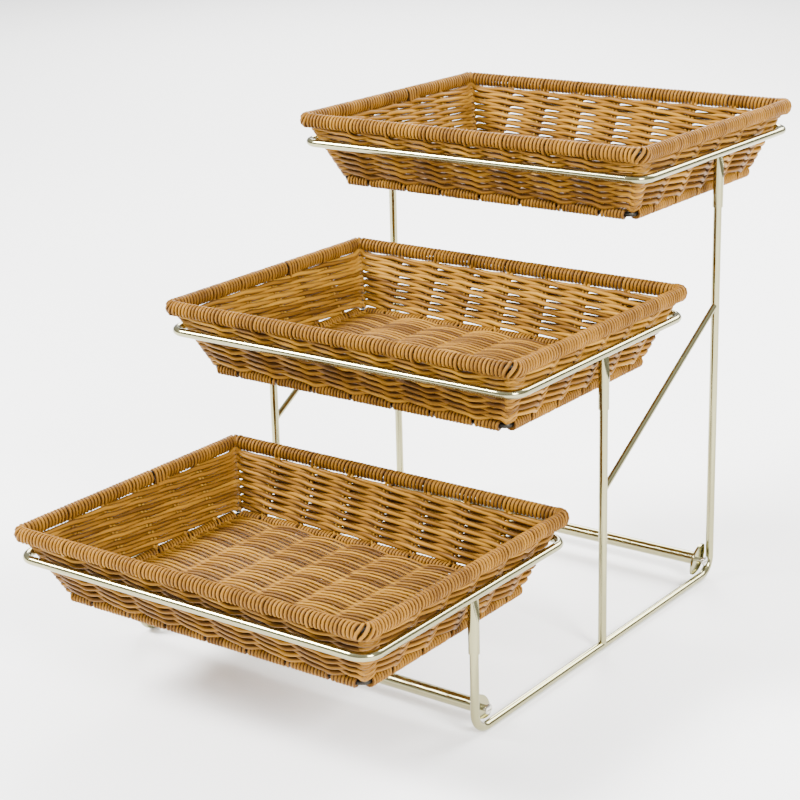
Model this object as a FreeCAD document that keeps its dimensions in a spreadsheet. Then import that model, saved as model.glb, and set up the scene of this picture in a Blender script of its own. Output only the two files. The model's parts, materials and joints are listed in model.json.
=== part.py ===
import FreeCAD, Part
import math
import os
import Sketcher

# Tiered bread display stand: three woven baskets, each dropped into a rod hoop, on a rod stand.
# Millimetres. +X runs along the long side of a basket, +Y from the low front tier to the high
# rear tier, +Z is up. The origin is on the table, under the middle of the stand.

doc = FreeCAD.newDocument("bread_stand")
Vector = FreeCAD.Vector
Constraint = Sketcher.Constraint

# Driving sizes

driving_sizes = (
    # Stand
    ("rod_dia", 8.0),
    ("tier_run", 212.0),
    ("lower_hoop_height", 131.0),
    ("middle_hoop_rise", 158.0),
    ("upper_hoop_rise", 145.0),
    ("rail_bend_radius", 18.0),
    ("brace_dia", 6.0),
    ("brace_low_height", 158.0),
    ("brace_high_height", 285.0),
    # Cross tubes, their gusset plates and screws
    ("tube_dia", 12.7),
    ("tube_wall", 1.2),
    ("tube_inset", 16.0),
    ("tube_rise", 17.0),
    ("gusset_length", 36.0),
    ("gusset_width", 20.0),
    ("gusset_thickness", 2.5),
    ("gusset_tip_radius", 2.0),
    ("insert_length", 14.0),
    ("insert_clearance", 0.05),
    ("screw_dia", 4.0),
    ("screw_reach", 10.0),
    ("screw_hole_clearance", 0.2),
    ("screw_neck_step", 0.8),
    ("screw_neck_length", 6.5),
    ("screw_head_step", 1.8),
    ("screw_head_height", 2.8),
    ("screw_slot_width", 1.2),
    ("screw_slot_depth", 1.1),
    # Hoops and the sockets that slip over the uprights
    ("hoop_corner_radius", 16.0),
    ("socket_wall", 0.85),
    ("socket_clearance", 0.15),
    ("socket_stop_clearance", 0.3),
    ("upright_engagement", 17.0),
    ("socket_shoulder", 11.7),
    ("crimp_height", 23.0),
    ("crimp_thickness", 3.2),
    # Basket wire frame
    ("rim_length", 387.0),
    ("rim_width", 295.0),
    ("rim_corner_radius", 8.0),
    ("rim_wire_dia", 6.0),
    ("foot_length", 334.0),
    ("foot_width", 234.0),
    ("foot_corner_radius", 8.0),
    ("foot_wire_dia", 5.0),
    ("basket_drop", 65.0),
    ("post_dia", 4.0),
    # Basket weave
    ("rim_roll_dia", 13.0),
    ("rim_roll_drop", 3.0),
    ("foot_roll_dia", 12.0),
    ("strand_dia", 3.4),
    ("stake_pair_gap", 0.2),
    ("long_stake_count", 7),
    ("long_stake_pitch", 45.0),
    ("short_stake_count", 5),
    ("short_stake_pitch", 42.5),
    ("wall_thickness", 12.0),
    ("wall_corner_easing", 4.0),
    ("rim_slit", 0.8),
    ("floor_thickness", 8.0),
    ("weave_clearance", 0.3),
    # How a basket sits in its hoop
    ("seat_drop", 25.0),
    ("seat_clearance", 0.3),
)

# Sizes that follow from the driving ones, so that what fits together stays together

derived_sizes = (
    ("rod_radius", "sizes.rod_dia / 2"),
    # The walls of a basket lean out by these runs for each millimetre of height
    ("lean_x", "(sizes.rim_length - sizes.foot_length) / 2 / sizes.basket_drop"),
    ("lean_y", "(sizes.rim_width - sizes.foot_width) / 2 / sizes.basket_drop"),
    ("stretch_x", "sqrt(1 + lean_x * lean_x)"),
    ("stretch_y", "sqrt(1 + lean_y * lean_y)"),
    # A hoop touches the outside of the walls at the seat height
    ("seat_offset", "sizes.wall_thickness / 2 + rod_radius + sizes.seat_clearance"),
    ("hoop_half_x", "sizes.rim_length / 2 - lean_x * sizes.seat_drop + seat_offset * stretch_x"),
    ("hoop_half_y", "sizes.rim_width / 2 - lean_y * sizes.seat_drop + seat_offset * stretch_y"),
    # Heights of the hoops and of the rims above them
    ("lower_hoop_z", "sizes.lower_hoop_height"),
    ("middle_hoop_z", "lower_hoop_z + sizes.middle_hoop_rise"),
    ("upper_hoop_z", "middle_hoop_z + sizes.upper_hoop_rise"),
    ("lower_rim_z", "lower_hoop_z + sizes.seat_drop"),
    ("middle_rim_z", "middle_hoop_z + sizes.seat_drop"),
    ("upper_rim_z", "upper_hoop_z + sizes.seat_drop"),
    ("lower_y", "-sizes.tier_run"),
    ("middle_y", "0"),
    ("upper_y", "sizes.tier_run"),
    # Sockets, measured down from the centre line of the hoop
    ("socket_bore", "sizes.rod_dia + 2 * sizes.socket_clearance"),
    ("socket_dia", "socket_bore + 2 * sizes.socket_wall"),
    ("socket_bore_depth", "sizes.upright_engagement + sizes.socket_stop_clearance"),
    ("socket_length", "socket_bore_depth + sizes.socket_shoulder + sizes.crimp_height"),
    ("socket_mouth_z", "-socket_length"),
    ("socket_top_z", "min(0; (rod_radius * stretch_x - socket_dia / 2) / lean_x)"),
    ("socket_barrel_length", "socket_length + socket_top_z"),
    ("crimp_low_z", "-sizes.crimp_height"),
    ("crimp_cut_top_y", "sizes.crimp_thickness"),
    ("crimp_cut_low_y", "socket_dia"),
    ("front_upright_top", "lower_hoop_z - socket_length + sizes.upright_engagement"),
    ("middle_upright_top", "middle_hoop_z - socket_length + sizes.upright_engagement"),
    ("rear_upright_top", "upper_hoop_z - socket_length + sizes.upright_engagement"),
    ("middle_upright_length", "middle_upright_top - rod_radius"),
    # Braces, from axis to axis of the two uprights
    ("brace_rise", "sizes.brace_high_height - sizes.brace_low_height"),
    ("brace_length", "sqrt(sizes.tier_run * sizes.tier_run + brace_rise * brace_rise)"),
    ("brace_radius", "sizes.brace_dia / 2"),
    ("brace_lean", "-90 + atan(brace_rise / sizes.tier_run) / 1 deg"),
    # Cross tubes between the gusset plates, which lie on the inboard side of the rods
    ("gusset_outer_x", "hoop_half_x - rod_radius"),
    ("tube_half_length", "gusset_outer_x - sizes.gusset_thickness"),
    ("tube_length", "2 * tube_half_length"),
    ("tube_bore", "sizes.tube_dia - 2 * sizes.tube_wall"),
    ("tube_z", "rod_radius + sizes.tube_rise"),
    ("front_tube_y", "-sizes.tier_run + sizes.tube_inset"),
    ("rear_tube_y", "sizes.tier_run - sizes.tube_inset"),
    ("gusset_half_length", "sizes.gusset_length / 2"),
    ("gusset_half_width", "sizes.gusset_width / 2"),
    ("gusset_arc_radius", "(gusset_half_length^2 + gusset_half_width^2) / (2 * gusset_half_width)"),
    ("gusset_hole", "sizes.screw_dia + 2 * sizes.screw_hole_clearance"),
    ("insert_radius", "tube_bore / 2 - sizes.insert_clearance"),
    ("insert_bore_radius", "sizes.screw_dia / 2 + sizes.insert_clearance"),
    ("screw_radius", "sizes.screw_dia / 2"),
    ("screw_neck_radius", "screw_radius + sizes.screw_neck_step"),
    ("screw_head_radius", "screw_neck_radius + sizes.screw_head_step"),
    ("screw_tip_x", "-sizes.gusset_thickness - sizes.screw_reach"),
    ("screw_head_x", "sizes.screw_neck_length"),
    ("screw_edge_x", "screw_head_x + sizes.screw_head_height / 2"),
    ("screw_end_x", "screw_head_x + sizes.screw_head_height"),
    ("screw_slot_x", "screw_end_x - sizes.screw_slot_depth"),
    ("screw_dome", "screw_end_x - screw_edge_x"),
    ("screw_dome_radius", "(screw_dome^2 + screw_head_radius^2) / (2 * screw_dome)"),
    # Basket wire frame, measured from the centre of the rim
    ("rim_half_x", "sizes.rim_length / 2"),
    ("rim_half_y", "sizes.rim_width / 2"),
    ("foot_half_x", "sizes.foot_length / 2"),
    ("foot_half_y", "sizes.foot_width / 2"),
    ("foot_z", "-sizes.basket_drop"),
    ("rim_wrap_bore", "sizes.rim_wire_dia + 2 * sizes.weave_clearance"),
    # Woven wall, from the slit under the rim down to the foot
    ("wall_top_z", "-sizes.rim_roll_dia / 2 - sizes.rim_roll_drop - sizes.rim_slit"),
    ("wall_low_z", "foot_z + sizes.foot_roll_dia / 2 + sizes.weave_clearance"),
    ("wall_half", "sizes.wall_thickness / 2"),
    ("corner_change", "(sizes.rim_corner_radius - sizes.foot_corner_radius) / sizes.basket_drop"),
    # The strands draw tight round the corner posts, so the outside of the corners is eased
    ("wall_top_outer_x", "rim_half_x + lean_x * wall_top_z + wall_half * stretch_x"),
    ("wall_top_outer_y", "rim_half_y + lean_y * wall_top_z + wall_half * stretch_y"),
    ("wall_top_outer_r", "wall_top_inner_r + sizes.wall_thickness + sizes.wall_corner_easing"),
    ("wall_top_inner_x", "rim_half_x + lean_x * wall_top_z - wall_half * stretch_x"),
    ("wall_top_inner_y", "rim_half_y + lean_y * wall_top_z - wall_half * stretch_y"),
    ("wall_top_inner_r", "sizes.rim_corner_radius + corner_change * wall_top_z - wall_half"),
    ("wall_low_outer_x", "rim_half_x + lean_x * wall_low_z + wall_half * stretch_x"),
    ("wall_low_outer_y", "rim_half_y + lean_y * wall_low_z + wall_half * stretch_y"),
    ("wall_low_outer_r", "wall_low_inner_r + sizes.wall_thickness + sizes.wall_corner_easing"),
    ("wall_low_inner_x", "rim_half_x + lean_x * wall_low_z - wall_half * stretch_x"),
    ("wall_low_inner_y", "rim_half_y + lean_y * wall_low_z - wall_half * stretch_y"),
    ("wall_low_inner_r", "sizes.rim_corner_radius + corner_change * wall_low_z - wall_half"),
    # The stakes stop under the wrapped rim, measured along their slope
    ("stake_lean", "max(lean_x; lean_y)"),
    ("stake_top_depth", "sizes.rim_roll_dia / 2 + sizes.rim_roll_drop + sizes.weave_clearance"),
    ("stake_rim_trim", "stake_top_depth * sqrt(1 + stake_lean^2) + sizes.strand_dia / 2 * stake_lean"),
    # Woven floor, inside the wrapped foot
    ("floor_half_x", "foot_half_x - sizes.foot_roll_dia / 2 - sizes.weave_clearance"),
    ("floor_half_y", "foot_half_y - sizes.foot_roll_dia / 2 - sizes.weave_clearance"),
    ("floor_low_z", "foot_z - sizes.floor_thickness / 2"),
)


def fill_sheet(name, rows, prefix):
    sheet = doc.addObject("Spreadsheet::Sheet", name)
    for row, (alias, content) in enumerate(rows, start=1):
        sheet.set("A%d" % row, alias)
        sheet.set("B%d" % row, prefix + str(content))
        sheet.setAlias("B%d" % row, alias)
    doc.recompute()
    return sheet


sizes = fill_sheet("sizes", driving_sizes, "")
fits = fill_sheet("fits", derived_sizes, "=")
driving_names = {alias for alias, number in driving_sizes}
nodes = {}


def ref(alias):
    sheet = sizes if alias in driving_names else fits
    return "%s.%s" % (sheet.Name, alias)


def value(alias):
    sheet = sizes if alias in driving_names else fits
    return float(getattr(sheet, alias))


def keep(node, item):
    item.Label = node
    nodes[node] = item
    return item


# Placing and sketching helpers


def place(item, x=None, y=None, z=None, axis=None, angle=0.0):
    if axis:
        item.Placement = FreeCAD.Placement(Vector(), FreeCAD.Rotation(axis, angle))
    for letter, expression in (("x", x), ("y", y), ("z", z)):
        if expression:
            item.setExpression("Placement.Base." + letter, expression)
    return item


def origin_plane(body, role):
    for feature in body.Origin.OriginFeatures:
        if feature.Role == role:
            return feature


def new_sketch(body, name, role, height=None):
    sketch = body.newObject("Sketcher::SketchObject", body.Name + "_" + name)
    sketch.AttachmentSupport = [(origin_plane(body, role), "")]
    sketch.MapMode = "FlatFace"
    if height:
        sketch.setExpression("AttachmentOffset.Base.z", ref(height))
    return sketch


def drive(sketch, alias, kind, *places):
    index = sketch.addConstraint(Constraint(kind, *places, value(alias)))
    name = "%s_%d" % (alias, index)
    sketch.renameConstraint(index, name)
    sketch.setExpression("Constraints." + name, ref(alias))


def draw_circle(sketch, diameter, x=None):
    centre = Vector(value(x) if x else 0.0, 0.0, 0.0)
    circle = sketch.addGeometry(Part.Circle(centre, Vector(0, 0, 1), value(diameter) / 2))
    if x:
        sketch.addConstraint(Constraint("PointOnObject", circle, 3, -1))
        drive(sketch, x, "DistanceX", -1, 1, circle, 3)
    else:
        sketch.addConstraint(Constraint("Coincident", circle, 3, -1, 1))
    drive(sketch, diameter, "Diameter", circle)


def draw_arc(sketch, centre, radius, start, sweep):
    circle = Part.Circle(centre, Vector(0, 0, 1), radius)
    return sketch.addGeometry(Part.ArcOfCircle(circle, math.radians(start), math.radians(start + sweep)))


def draw_upright_oval(sketch, width, drop, x):
    # Half round on the axis, a second one lower down, and straight sides between them
    middle = value(x)
    radius = value(width) / 2
    inner_x = middle - radius
    outer_x = middle + radius
    low = -value(drop)
    top = draw_arc(sketch, Vector(middle, 0, 0), radius, 0, 180)
    inner = sketch.addGeometry(Part.LineSegment(Vector(inner_x, 0, 0), Vector(inner_x, low, 0)))
    bottom = draw_arc(sketch, Vector(middle, low, 0), radius, 180, 180)
    outer = sketch.addGeometry(Part.LineSegment(Vector(outer_x, low, 0), Vector(outer_x, 0, 0)))
    chain = (top, inner, bottom, outer, top)
    for first, second in zip(chain, chain[1:]):
        sketch.addConstraint(Constraint("Tangent", first, 2, second, 1))
    sketch.addConstraint(Constraint("Vertical", inner))
    sketch.addConstraint(Constraint("Equal", top, bottom))
    sketch.addConstraint(Constraint("PointOnObject", top, 3, -1))
    drive(sketch, x, "DistanceX", -1, 1, top, 3)
    drive(sketch, drop, "DistanceY", bottom, 3, top, 3)
    drive(sketch, width, "Diameter", top)


def draw_rounded_rectangle(sketch, half_x, half_y, radius):
    x = value(half_x)
    y = value(half_y)
    r = value(radius)
    signs = ((1, -1), (1, 1), (-1, 1), (-1, -1))
    centres = [Vector(sign_x * (x - r), sign_y * (y - r), 0) for sign_x, sign_y in signs]
    outward = (Vector(0, -r, 0), Vector(r, 0, 0), Vector(0, r, 0), Vector(-r, 0, 0))
    lines = []
    arcs = []
    for side in range(4):
        start = centres[side - 1] + outward[side]
        end = centres[side] + outward[side]
        lines.append(sketch.addGeometry(Part.LineSegment(start, end)))
        arcs.append(draw_arc(sketch, centres[side], r, 90 * side - 90, 90))
    for side in range(4):
        sketch.addConstraint(Constraint("Tangent", lines[side], 2, arcs[side], 1))
        sketch.addConstraint(Constraint("Tangent", arcs[side], 2, lines[(side + 1) % 4], 1))
        sketch.addConstraint(Constraint("Vertical" if side % 2 else "Horizontal", lines[side]))
    for arc in arcs[1:]:
        sketch.addConstraint(Constraint("Equal", arcs[0], arc))
    drive(sketch, radius, "Radius", arcs[0])
    drive(sketch, half_y, "DistanceY", lines[0], 1, -1, 1)
    drive(sketch, half_x, "DistanceX", -1, 1, lines[1], 1)
    drive(sketch, half_y, "DistanceY", -1, 1, lines[2], 1)
    drive(sketch, half_x, "DistanceX", lines[3], 1, -1, 1)


# Feature helpers


def new_body(name):
    return doc.addObject("PartDesign::Body", name)


def add_pipe(body, name, kind, profile, spine):
    pipe = body.newObject("PartDesign::" + kind, body.Name + "_" + name)
    pipe.Profile = profile
    pipe.Spine = spine
    return pipe


def add_loft(body, name, kind, low, high):
    loft = body.newObject("PartDesign::" + kind, body.Name + "_" + name)
    loft.Profile = low
    loft.Sections = [high]
    loft.Ruled = True
    return loft


def add_pad(body, name, sketch, length, midplane=False):
    pad = body.newObject("PartDesign::Pad", body.Name + "_" + name)
    pad.Profile = sketch
    pad.setExpression("Length", ref(length))
    pad.Midplane = midplane
    return pad


def add_pocket_up(body, name, sketch, depth):
    pocket = body.newObject("PartDesign::Pocket", body.Name + "_" + name)
    pocket.Profile = sketch
    pocket.setExpression("Length", ref(depth))
    pocket.Reversed = True
    return pocket


def add_cylinder(name, radius, height):
    cylinder = doc.addObject("Part::Cylinder", name)
    cylinder.setExpression("Radius", ref(radius))
    cylinder.setExpression("Height", height)
    return cylinder


def add_cut(node, base, tool):
    cut = doc.addObject("Part::Cut", node)
    cut.Base = base
    cut.Tool = tool
    return cut


def add_solids(name, solids):
    group = doc.addObject("Part::Feature", name)
    group.Shape = Part.makeCompound(solids)
    return group


# Stand


def side_rail(node, x):
    # One bent rod: front upright, base rail on the table, rear upright
    body = new_body(node)
    run = value("tier_run")
    low = value("rod_radius")
    bend = value("rail_bend_radius")
    front_top = value("front_upright_top")
    rear_top = value("rear_upright_top")
    path = new_sketch(body, "path", "YZ_Plane")
    front = path.addGeometry(Part.LineSegment(Vector(-run, front_top, 0), Vector(-run, low + bend, 0)))
    front_bend = draw_arc(path, Vector(bend - run, low + bend, 0), bend, 180, 90)
    rail = path.addGeometry(Part.LineSegment(Vector(bend - run, low, 0), Vector(run - bend, low, 0)))
    rear_bend = draw_arc(path, Vector(run - bend, low + bend, 0), bend, 270, 90)
    rear = path.addGeometry(Part.LineSegment(Vector(run, low + bend, 0), Vector(run, rear_top, 0)))
    chain = (front, front_bend, rail, rear_bend, rear)
    for first, second in zip(chain, chain[1:]):
        path.addConstraint(Constraint("Tangent", first, 2, second, 1))
    path.addConstraint(Constraint("Vertical", front))
    path.addConstraint(Constraint("Horizontal", rail))
    path.addConstraint(Constraint("Vertical", rear))
    path.addConstraint(Constraint("Equal", front_bend, rear_bend))
    drive(path, "rail_bend_radius", "Radius", front_bend)
    drive(path, "tier_run", "DistanceX", front, 1, -1, 1)
    drive(path, "tier_run", "DistanceX", -1, 1, rear, 2)
    drive(path, "rod_radius", "DistanceY", -1, 1, rail, 1)
    drive(path, "front_upright_top", "DistanceY", -1, 1, front, 1)
    drive(path, "rear_upright_top", "DistanceY", -1, 1, rear, 2)
    section = new_sketch(body, "section", "XY_Plane", "front_upright_top")
    circle = section.addGeometry(Part.Circle(Vector(0, -run, 0), Vector(0, 0, 1), low))
    section.addConstraint(Constraint("PointOnObject", circle, 3, -2))
    drive(section, "tier_run", "DistanceY", circle, 3, -1, 1)
    drive(section, "rod_dia", "Diameter", circle)
    add_pipe(body, "rod", "AdditivePipe", section, path)
    place(body, x=x)
    keep(node, body)


def middle_upright(node, x):
    # Stands on the base rail, its foot cut to the round of the rail
    rod = add_cylinder(node + "_rod", "rod_radius", ref("middle_upright_length"))
    place(rod, x=x, z=ref("rod_radius"))
    rail = add_cylinder(node + "_saddle", "rod_radius", "4 * " + ref("rod_dia"))
    place(rail, x=x, y="2 * " + ref("rod_dia"), z=ref("rod_radius"), axis=Vector(1, 0, 0), angle=90)
    keep(node, add_cut(node, rod, rail))


def brace(node, x):
    # Runs up from the middle upright to the rear upright, both ends cut to the round of the rods
    rod = add_cylinder(node + "_rod", "brace_radius", ref("brace_length"))
    place(rod, x=x, z=ref("brace_low_height"), axis=Vector(1, 0, 0), angle=value("brace_lean"))
    rod.setExpression("Placement.Rotation.Angle", ref("brace_lean"))
    low_saddle = add_cylinder(node + "_low_saddle", "rod_radius", "2 * " + ref("brace_low_height"))
    place(low_saddle, x=x)
    high_saddle = add_cylinder(node + "_high_saddle", "rod_radius", "2 * " + ref("brace_high_height"))
    place(high_saddle, x=x, y=ref("tier_run"))
    trimmed = add_cut(node + "_trimmed", rod, low_saddle)
    keep(node, add_cut(node, trimmed, high_saddle))


def gusset(node, side, y, tilt):
    # Leaf-shaped plate across a bend of the side rail, with the screw hole in its middle
    body = new_body(node)
    outline = new_sketch(body, "outline", "XY_Plane")
    half_length = value("gusset_half_length")
    radius = value("gusset_arc_radius")
    offset = radius - value("gusset_half_width")
    tip_left = Vector(-half_length, 0, 0)
    tip_right = Vector(half_length, 0, 0)
    upper_arc = Part.Arc(tip_right, Vector(0, radius - offset, 0), tip_left)
    lower_arc = Part.Arc(tip_left, Vector(0, offset - radius, 0), tip_right)
    upper = outline.addGeometry(upper_arc)
    lower = outline.addGeometry(lower_arc)
    outline.addConstraint(Constraint("Coincident", upper, 2, lower, 1))
    outline.addConstraint(Constraint("Coincident", lower, 2, upper, 1))
    outline.addConstraint(Constraint("PointOnObject", upper, 1, -1))
    outline.addConstraint(Constraint("PointOnObject", upper, 2, -1))
    drive(outline, "gusset_half_length", "DistanceX", -1, 1, upper, 1)
    drive(outline, "gusset_half_length", "DistanceX", upper, 2, -1, 1)
    drive(outline, "gusset_arc_radius", "Radius", upper)
    drive(outline, "gusset_arc_radius", "Radius", lower)
    draw_circle(outline, "gusset_hole")
    plate = add_pad(body, "plate", outline, "gusset_thickness")
    doc.recompute()
    tips = []
    for number, edge in enumerate(plate.Shape.Edges, start=1):
        ends = [vertex.Point for vertex in edge.Vertexes]
        stands_up = len(ends) == 2 and abs(ends[0].z - ends[1].z) > value("gusset_thickness") / 2
        if stands_up and abs(ends[0].x) > half_length / 2:
            tips.append("Edge%d" % number)
    rounding = body.newObject("PartDesign::Fillet", node + "_tips")
    rounding.Base = (plate, tips)
    rounding.setExpression("Radius", ref("gusset_tip_radius"))
    inner_x = ref("tube_half_length") if side > 0 else "-" + ref("gusset_outer_x")
    stand_up = FreeCAD.Rotation(Vector(0, 1, 0), Vector(0, 0, 1), Vector(1, 0, 0), "ZXY")
    body.Placement = FreeCAD.Placement(Vector(), stand_up * FreeCAD.Rotation(Vector(0, 0, 1), tilt))
    place(body, x=inner_x, y=y, z=ref("tube_z"))
    keep(node, body)


def cross_tube(node, y):
    body = new_body(node)
    section = new_sketch(body, "section", "YZ_Plane")
    draw_circle(section, "tube_dia")
    draw_circle(section, "tube_bore")
    add_pad(body, "tube", section, "tube_length", midplane=True)
    place(body, y=y, z=ref("tube_z"))
    keep(node, body)


def tube_insert(name, side, y):
    # Threaded plug in the end of a cross tube, flush with the end
    low_x = "-" + ref("tube_half_length")
    if side > 0:
        low_x = "%s - %s" % (ref("tube_half_length"), ref("insert_length"))
    plug = add_cylinder(name + "_plug", "insert_radius", ref("insert_length"))
    bore = add_cylinder(name + "_bore", "insert_bore_radius", ref("insert_length"))
    for item in (plug, bore):
        place(item, x=low_x, y=y, z=ref("tube_z"), axis=Vector(0, 1, 0), angle=90)
    return add_cut(name, plug, bore)


def tube_screw(name, side, y):
    # Slotted screw: thread in the tube's insert, plain neck on the plate, round head outboard
    body = new_body(name)
    half = new_sketch(body, "half", "XZ_Plane")
    steps = (
        ("screw_tip_x", "screw_radius"),
        (None, "screw_radius"),
        (None, "screw_neck_radius"),
        ("screw_head_x", "screw_neck_radius"),
        ("screw_head_x", "screw_head_radius"),
        ("screw_edge_x", "screw_head_radius"),
    )
    corners = [Vector(value("screw_tip_x"), 0, 0)]
    corners += [Vector(value(x) if x else 0.0, value(r), 0) for x, r in steps]
    end = Vector(value("screw_end_x"), 0, 0)
    lines = [half.addGeometry(Part.LineSegment(a, b)) for a, b in zip(corners, corners[1:])]
    dome_radius = value("screw_dome_radius")
    dome_sweep = math.degrees(math.asin(value("screw_head_radius") / dome_radius))
    dome = draw_arc(half, end - Vector(dome_radius, 0, 0), dome_radius, 0, dome_sweep)
    axis = half.addGeometry(Part.LineSegment(end, corners[0]))
    for first, second in zip(lines, lines[1:]):
        half.addConstraint(Constraint("Coincident", first, 2, second, 1))
    half.addConstraint(Constraint("Coincident", lines[-1], 2, dome, 2))
    half.addConstraint(Constraint("Coincident", axis, 2, lines[0], 1))
    half.addConstraint(Constraint("Perpendicular", dome, 1, axis, 1))
    for number, line in enumerate(lines):
        half.addConstraint(Constraint("Horizontal" if number % 2 else "Vertical", line))
    half.addConstraint(Constraint("PointOnObject", axis, 1, -1))
    half.addConstraint(Constraint("PointOnObject", axis, 2, -1))
    half.addConstraint(Constraint("PointOnObject", lines[1], 2, -2))
    tip = half.addConstraint(Constraint("DistanceX", lines[0], 1, -1, 1, -value("screw_tip_x")))
    half.setExpression("Constraints[%d]" % tip, "-" + ref("screw_tip_x"))
    drive(half, "screw_radius", "DistanceY", -1, 1, lines[0], 2)
    drive(half, "screw_neck_radius", "DistanceY", -1, 1, lines[2], 2)
    drive(half, "screw_head_radius", "DistanceY", -1, 1, lines[4], 2)
    drive(half, "screw_head_x", "DistanceX", -1, 1, lines[3], 2)
    drive(half, "screw_edge_x", "DistanceX", -1, 1, lines[5], 2)
    drive(half, "screw_end_x", "DistanceX", -1, 1, axis, 1)
    turned = body.newObject("PartDesign::Revolution", name + "_turned")
    turned.Profile = half
    turned.ReferenceAxis = (half, ["H_Axis"])
    turned.Angle = 360
    slot = doc.addObject("Part::Box", name + "_slot")
    slot.setExpression("Length", ref("screw_head_height"))
    slot.setExpression("Width", "4 * " + ref("screw_head_radius"))
    slot.setExpression("Height", ref("screw_slot_width"))
    sign = "" if side > 0 else "-"
    outer_x = sign + ref("gusset_outer_x")
    slot_x = ref("gusset_outer_x") + " + " + ref("screw_slot_x")
    slot_low_x = slot_x if side > 0 else "-(%s) - %s" % (slot_x, ref("screw_head_height"))
    slot_z = "%s - %s / 2" % (ref("tube_z"), ref("screw_slot_width"))
    place(slot, x=slot_low_x, y="%s - 2 * %s" % (y, ref("screw_head_radius")), z=slot_z)
    place(body, x=outer_x, y=y, z=ref("tube_z"), axis=Vector(0, 0, 1), angle=0 if side > 0 else 180)
    return add_cut(name + "_slotted", body, slot)


sides = (("left", -1), ("right", 1))
frame_x = {"left": "-" + ref("hoop_half_x"), "right": ref("hoop_half_x")}
tubes = (("front", ref("front_tube_y"), -45), ("rear", ref("rear_tube_y"), 45))

screws = []
inserts = []
for side_name, side in sides:
    side_rail(side_name + "_side_rail", frame_x[side_name])
    middle_upright(side_name + "_middle_upright", frame_x[side_name])
    brace(side_name + "_brace", frame_x[side_name])
    for tube_name, tube_y, tilt in tubes:
        corner_name = "%s_%s" % (side_name, tube_name)
        gusset(corner_name + "_gusset", side, tube_y, tilt)
        inserts.append(tube_insert(corner_name + "_insert", side, tube_y))
        screws.append(tube_screw(corner_name + "_screw", side, tube_y))

for tube_name, tube_y, tilt in tubes:
    cross_tube(tube_name + "_cross_tube", tube_y)

for node, members in (("cross_tube_screws", screws), ("cross_tube_inserts", inserts)):
    group = doc.addObject("Part::Compound", node)
    group.Links = members
    keep(node, group)


# Closed loops of rod, wire and wrapping: a round or oval section swept round a rounded rectangle


def loop_body(name, half_x, half_y, corner, diameter, drop=None, bore=None):
    body = new_body(name)
    path = new_sketch(body, "path", "XY_Plane")
    draw_rounded_rectangle(path, half_x, half_y, corner)
    section = new_sketch(body, "section", "XZ_Plane")
    if drop:
        draw_upright_oval(section, diameter, drop, half_x)
    else:
        draw_circle(section, diameter, x=half_x)
    add_pipe(body, "rod", "AdditivePipe", section, path)
    if bore:
        hollow = new_sketch(body, "hollow", "XZ_Plane")
        draw_circle(hollow, bore, x=half_x)
        add_pipe(body, "bore", "SubtractivePipe", hollow, path)
    return body


# Hoops and sockets


def hoop(node, y, z):
    body = loop_body(node, "hoop_half_x", "hoop_half_y", "hoop_corner_radius", "rod_dia")
    keep(node, place(body, y=y, z=z))


def socket(node, side, x, y, z):
    # Tube that slips over an upright; its top is pressed in from the outboard side, fits round the
    # underside of the hoop and stays clear of the leaning wall of the basket
    body = new_body(node + "_tube")
    mouth = new_sketch(body, "mouth", "XY_Plane", "socket_mouth_z")
    draw_circle(mouth, "socket_dia")
    add_pad(body, "barrel", mouth, "socket_barrel_length")
    bore = new_sketch(body, "bore", "XY_Plane", "socket_mouth_z")
    draw_circle(bore, "socket_bore")
    add_pocket_up(body, "hole", bore, "socket_bore_depth")
    crimp_low = new_sketch(body, "crimp_low", "XY_Plane", "crimp_low_z")
    draw_circle(crimp_low, "socket_dia", x="crimp_cut_low_y")
    crimp_top = new_sketch(body, "crimp_top", "XY_Plane")
    draw_circle(crimp_top, "socket_dia", x="crimp_cut_top_y")
    add_loft(body, "crimp", "SubtractiveLoft", crimp_low, crimp_top)
    place(body, x=x, y=y, z=z, axis=Vector(0, 0, 1), angle=0 if side > 0 else 180)
    saddle = add_cylinder(node + "_saddle", "rod_radius", "4 * " + ref("socket_dia"))
    saddle_y = "%s + 2 * %s" % (y, ref("socket_dia"))
    place(saddle, x=x, y=saddle_y, z=z, axis=Vector(1, 0, 0), angle=90)
    keep(node, add_cut(node, body, saddle))


# Baskets, built about the centre of the rim and then set in their hoops


def stake_lines():
    # Centre line of each pair of stakes: top at the rim, bottom at the foot, and the way along the wall
    lines = []
    walls = (
        ("long", Vector(1, 0, 0), Vector(0, 1, 0), "rim_half_y", "foot_half_y"),
        ("short", Vector(0, 1, 0), Vector(1, 0, 0), "rim_half_x", "foot_half_x"),
    )
    for wall, along, outward, rim_half, foot_half in walls:
        number = int(value(wall + "_stake_count"))
        pitch = value(wall + "_stake_pitch")
        for side in (-1, 1):
            for place_number in range(number):
                shift = along * (pitch * (place_number - (number - 1) / 2))
                top = shift + outward * (side * value(rim_half))
                low = shift + outward * (side * value(foot_half)) + Vector(0, 0, value("foot_z"))
                lines.append((top, low, along))
    return lines


def corner_lines():
    # Centre line of each corner post, from the middle of a rim corner to the middle of a foot corner,
    # and the way the wires run there
    lines = []
    diagonal = 1 - 0.5 ** 0.5
    for side_x in (-1, 1):
        for side_y in (-1, 1):
            rim_cut = value("rim_corner_radius") * diagonal
            foot_cut = value("foot_corner_radius") * diagonal
            top_x = side_x * (value("rim_half_x") - rim_cut)
            top_y = side_y * (value("rim_half_y") - rim_cut)
            low_x = side_x * (value("foot_half_x") - foot_cut)
            low_y = side_y * (value("foot_half_y") - foot_cut)
            along = Vector(side_x, -side_y, 0).normalize()
            lines.append((Vector(top_x, top_y, 0), Vector(low_x, low_y, value("foot_z")), along))
    return lines


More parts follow.
